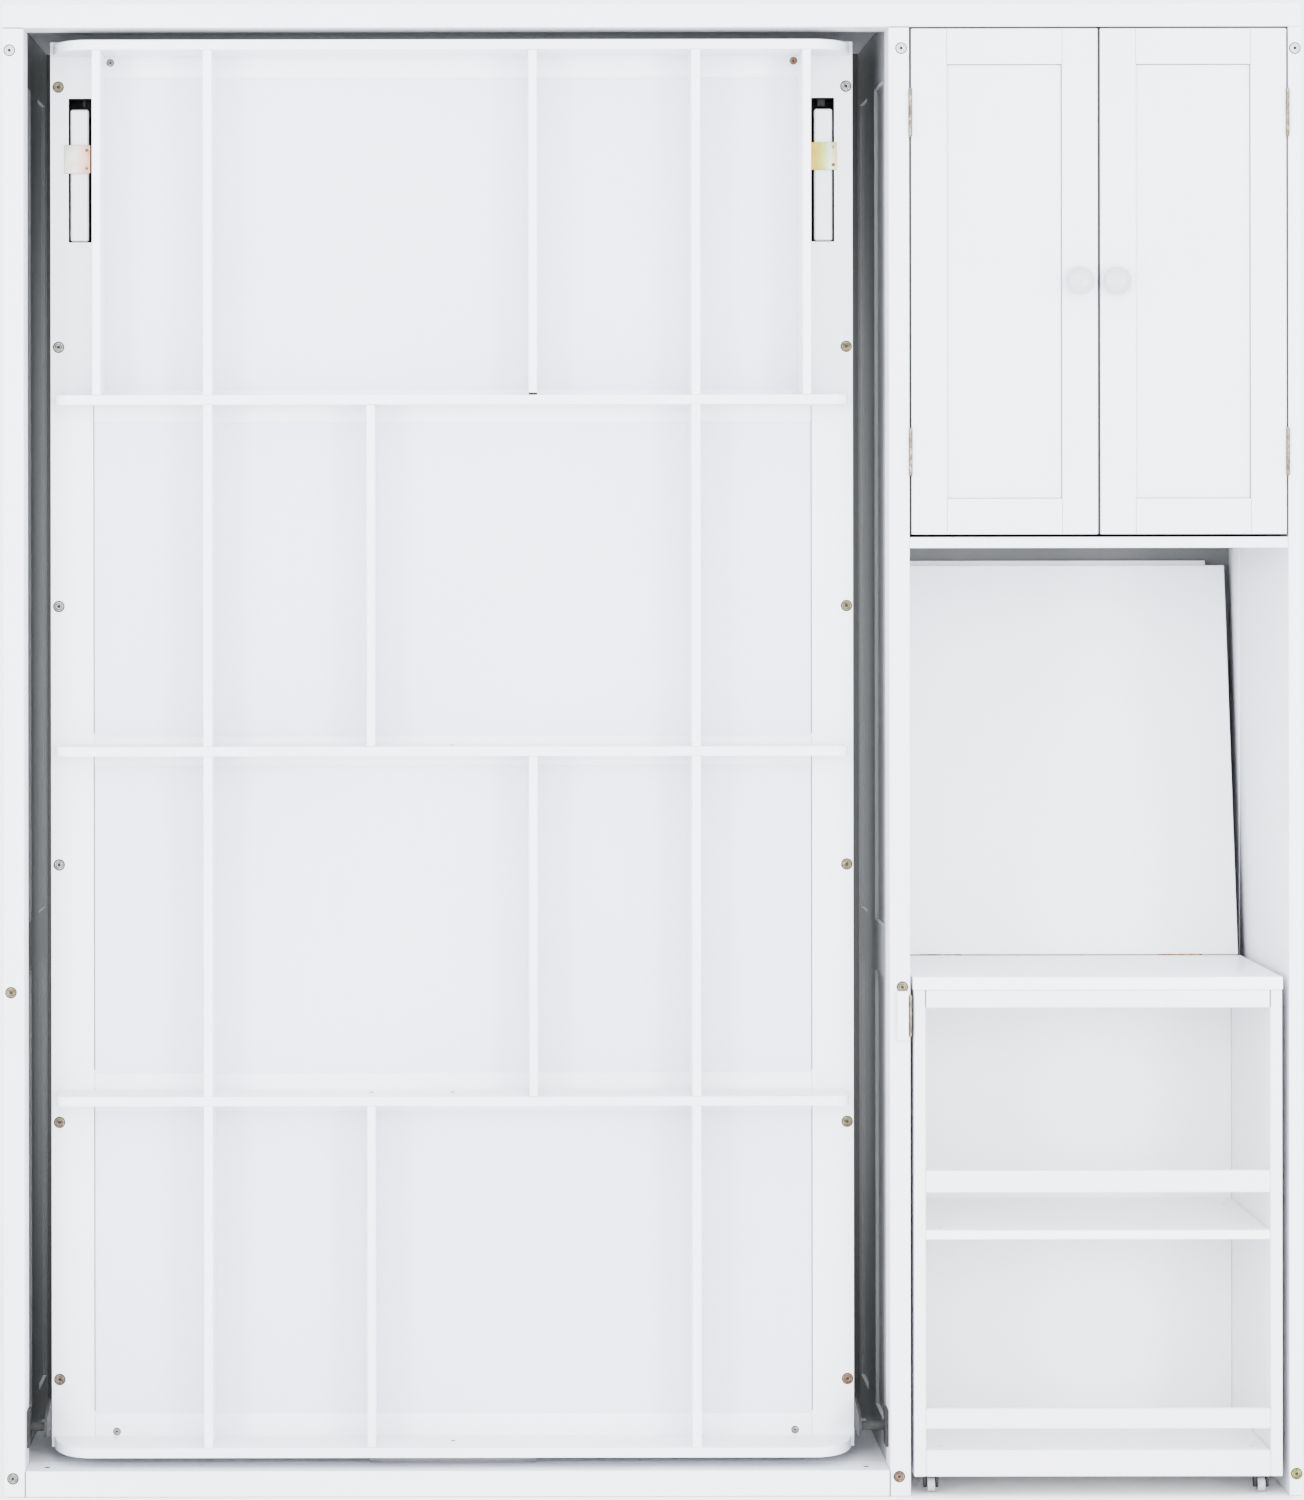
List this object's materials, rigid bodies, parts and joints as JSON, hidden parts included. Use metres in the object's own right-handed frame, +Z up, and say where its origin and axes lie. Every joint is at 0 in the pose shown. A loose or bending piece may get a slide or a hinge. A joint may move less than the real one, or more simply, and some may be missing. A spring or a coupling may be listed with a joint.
{
  "type": "wall bed",
  "caption": "Fold-down wall bed in a white cabinet with a ribbed platform and drop-out legs, beside a two-door cupboard over a rolling desk cart with a folding leaf.",
  "frame": {"origin": "on the floor, at the middle of the overall box's width and depth (the knobs count in the depth)", "axes": "+X to the right as seen from the front, +Y towards the wall behind, +Z up; the front faces -Y"},
  "size_m": [1.818, 0.544, 2.09],
  "materials": {
    "white_paint": "satin white paint on board",
    "grey_steel": "dark grey painted steel",
    "zinc_steel": "zinc-plated steel of the small hardware",
    "black_plastic": "moulded black plastic",
    "grey_rubber": "matt grey tread"
  },
  "bodies": {
    "cabinet": {"left_front_post": "white_paint", "left_side_panel": "white_paint", "mid_front_post": "white_paint", "mid_partition": "white_paint", "right_side_panel": "white_paint", "top_rail": "white_paint", "roof_panel": "white_paint", "base_rail": "white_paint", "base_deck": "white_paint", "back_panel": "white_paint", "cupboard_floor": "white_paint", "left_pivot_bracket": "grey_steel", "right_pivot_bracket": "grey_steel"},
    "bed": {"platform_panel": "white_paint", "left_side_rail": "white_paint", "right_side_rail": "white_paint", "head_rail": "white_paint", "foot_rail": "white_paint", "cross_rib_1": "white_paint", "cross_rib_2": "white_paint", "cross_rib_3": "white_paint", "cross_rib_4": "white_paint", "cross_rib_5": "white_paint", "long_rib_left": "white_paint", "long_rib_right": "white_paint", "short_rib_left": "white_paint", "short_rib_right": "white_paint", "divider_row_1": "white_paint", "divider_row_2": "white_paint", "divider_row_3": "white_paint", "divider_row_4": "white_paint", "left_pivot_arm": "grey_steel", "right_pivot_arm": "grey_steel"},
    "left_bed_leg": {"left_leg": "white_paint"},
    "right_bed_leg": {"right_leg": "white_paint"},
    "left_cupboard_door": {"left_door": "white_paint", "left_knob": "white_paint"},
    "right_cupboard_door": {"right_door": "white_paint", "right_knob": "white_paint"},
    "desk_cart": {"cart_top": "white_paint", "cart_left_side": "white_paint", "cart_right_side": "white_paint", "cart_back": "white_paint", "cart_apron": "white_paint", "cart_shelf": "white_paint", "shelf_fence": "white_paint", "cart_floor": "white_paint", "floor_skirt": "white_paint", "floor_fence": "white_paint"},
    "leaf": {"desk_leaf": "white_paint", "leaf_batten": "white_paint"},
    "stop_block": {"cart_stop": "white_paint"},
    "front_left_caster": {"front_left_fork": "black_plastic"},
    "front_left_roller": {"front_left_wheel": "grey_rubber"},
    "rear_left_caster": {"rear_left_fork": "black_plastic"},
    "rear_left_roller": {"rear_left_wheel": "grey_rubber"},
    "front_right_caster": {"front_right_fork": "black_plastic"},
    "front_right_roller": {"front_right_wheel": "grey_rubber"},
    "rear_right_caster": {"rear_right_fork": "black_plastic"},
    "rear_right_roller": {"rear_right_wheel": "grey_rubber"}
  },
  "joints": [
    {"name": "bed_fold", "type": "hinge", "parent": "cabinet", "child": "bed", "pos_m": [-0.2805, -0.196, 0.09], "axis": [1, 0, 0], "range_deg": [0, 90]},
    {"name": "left_leg_fold", "type": "hinge", "parent": "bed", "child": "left_bed_leg", "pos_m": [-0.81, -0.11525, 1.934], "axis": [-1, 0, 0], "range_deg": [0, 90]},
    {"name": "right_leg_fold", "type": "hinge", "parent": "bed", "child": "right_bed_leg", "pos_m": [0.249, -0.11525, 1.934], "axis": [-1, 0, 0], "range_deg": [0, 90]},
    {"name": "left_door_swing", "type": "hinge", "parent": "cabinet", "child": "left_cupboard_door", "pos_m": [0.3616, -0.2485, 1.7001], "axis": [0, 0, -1], "range_deg": [0, 100]},
    {"name": "right_door_swing", "type": "hinge", "parent": "cabinet", "child": "right_cupboard_door", "pos_m": [0.8896, -0.2485, 1.7001], "axis": [0, 0, 1], "range_deg": [0, 100]},
    {"name": "cart_roll", "type": "slide", "parent": "cabinet", "child": "desk_cart", "axis": [0, -1, 0], "range_m": [0, 0.6]},
    {"name": "leaf_fold", "type": "hinge", "parent": "desk_cart", "child": "leaf", "pos_m": [0.623, 0.1125, 0.7268], "axis": [1, 0, 0], "range_deg": [0, 102.3]},
    {"name": "stop_flip", "type": "hinge", "parent": "cabinet", "child": "stop_block", "pos_m": [0.3599, -0.25165, 0.67275], "axis": [0, 0, 1], "range_deg": [0, 180]},
    {"name": "front_left_swivel", "type": "hinge", "parent": "desk_cart", "child": "front_left_caster", "pos_m": [0.391, -0.206, 0.03], "axis": [0, 0, 1], "continuous": true},
    {"name": "front_left_spin", "type": "hinge", "parent": "front_left_caster", "child": "front_left_roller", "pos_m": [0.391, -0.214, 0.011], "axis": [1, 0, 0], "continuous": true},
    {"name": "rear_left_swivel", "type": "hinge", "parent": "desk_cart", "child": "rear_left_caster", "pos_m": [0.391, 0.072, 0.03], "axis": [0, 0, 1], "continuous": true},
    {"name": "rear_left_spin", "type": "hinge", "parent": "rear_left_caster", "child": "rear_left_roller", "pos_m": [0.391, 0.064, 0.011], "axis": [1, 0, 0], "continuous": true},
    {"name": "front_right_swivel", "type": "hinge", "parent": "desk_cart", "child": "front_right_caster", "pos_m": [0.855, -0.206, 0.03], "axis": [0, 0, 1], "continuous": true},
    {"name": "front_right_spin", "type": "hinge", "parent": "front_right_caster", "child": "front_right_roller", "pos_m": [0.855, -0.214, 0.011], "axis": [1, 0, 0], "continuous": true},
    {"name": "rear_right_swivel", "type": "hinge", "parent": "desk_cart", "child": "rear_right_caster", "pos_m": [0.855, 0.072, 0.03], "axis": [0, 0, 1], "continuous": true},
    {"name": "rear_right_spin", "type": "hinge", "parent": "rear_right_caster", "child": "rear_right_roller", "pos_m": [0.855, 0.064, 0.011], "axis": [1, 0, 0], "continuous": true}
  ]
}
